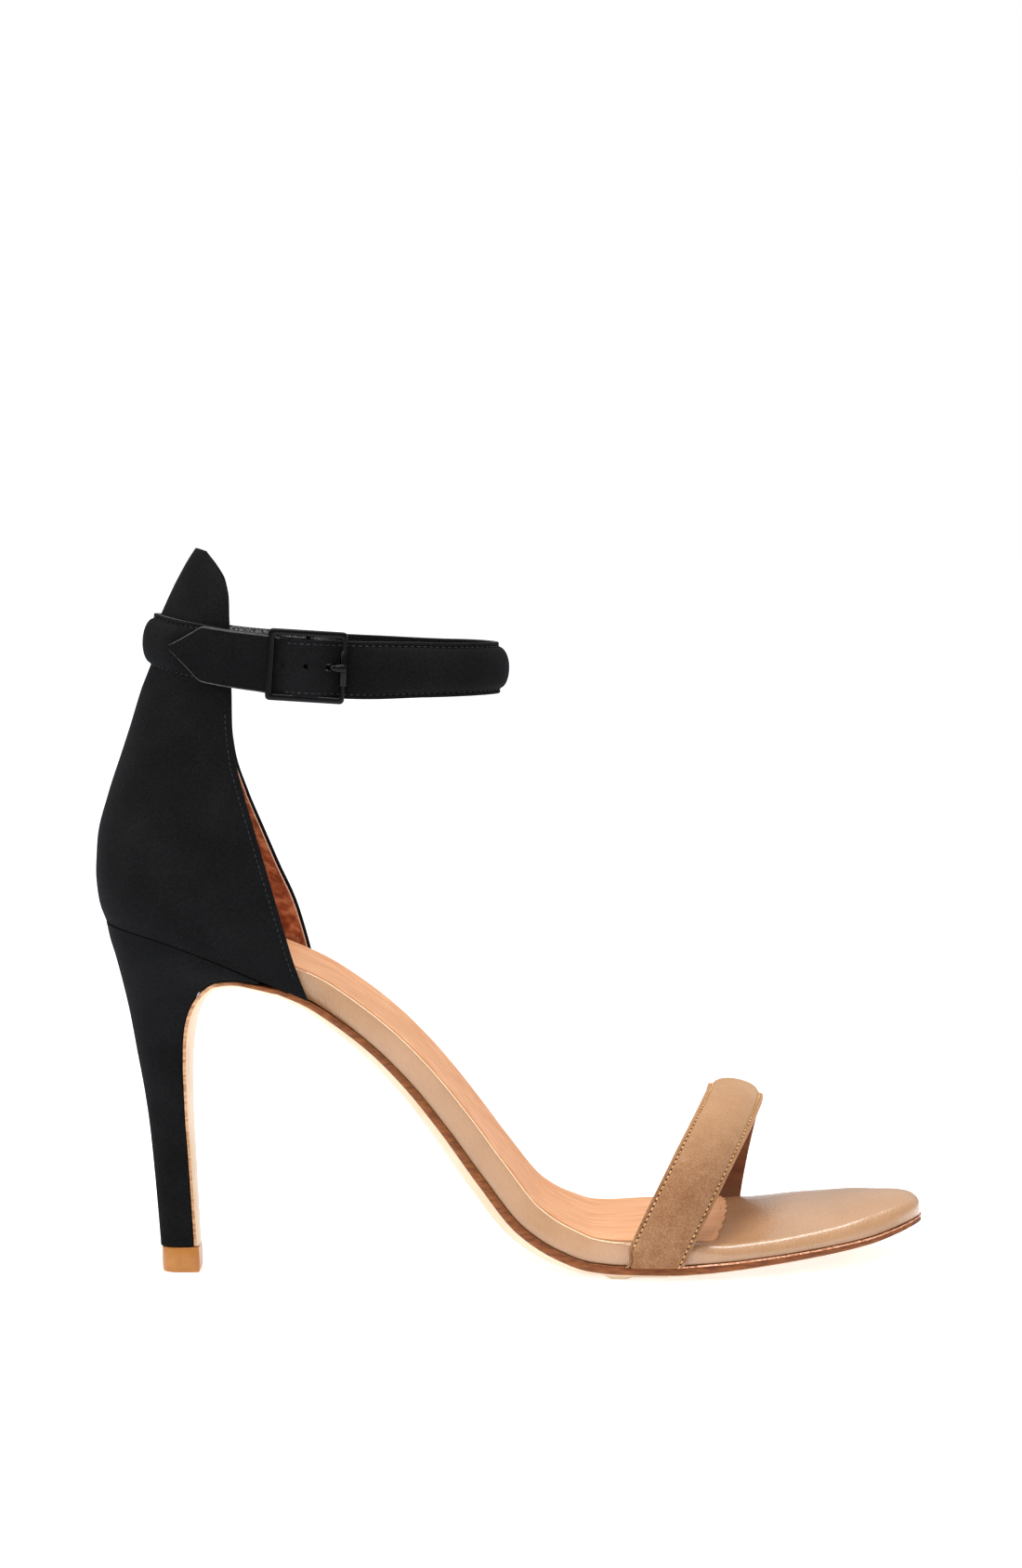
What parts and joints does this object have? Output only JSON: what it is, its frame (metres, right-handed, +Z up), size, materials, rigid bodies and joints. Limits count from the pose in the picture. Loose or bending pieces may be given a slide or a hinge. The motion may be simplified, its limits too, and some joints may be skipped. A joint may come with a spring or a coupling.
{
  "type": "ankle strap sandal",
  "caption": "High-heeled sandal for the right foot: closed suede back with an ankle strap and buckle, open toe with one padded strap.",
  "frame": {"origin": "on the floor under the middle of the shoe's box", "axes": "+X from heel to toe, +Y to the inner side of a right foot, +Z up"},
  "size_m": [0.221, 0.0848, 0.1952],
  "materials": {
    "sole_leather": "pale smooth sole leather with a stained edge",
    "taupe_leather": "smooth taupe leather with a soft sheen",
    "sock_leather": "matt lining leather",
    "black_suede": "black suede nap",
    "top_piece_rubber": "amber wear rubber",
    "tan_suede": "tan suede nap",
    "black_metal": "glossy black coating on metal"
  },
  "bodies": {
    "root": {"outsole": "sole_leather", "insole": "taupe_leather", "sock": "sock_leather", "heel": "black_suede", "top_piece": "top_piece_rubber", "upper": "black_suede", "toe_strap": "tan_suede", "buckle": "black_metal", "prong": "black_metal"}
  },
  "joints": []
}
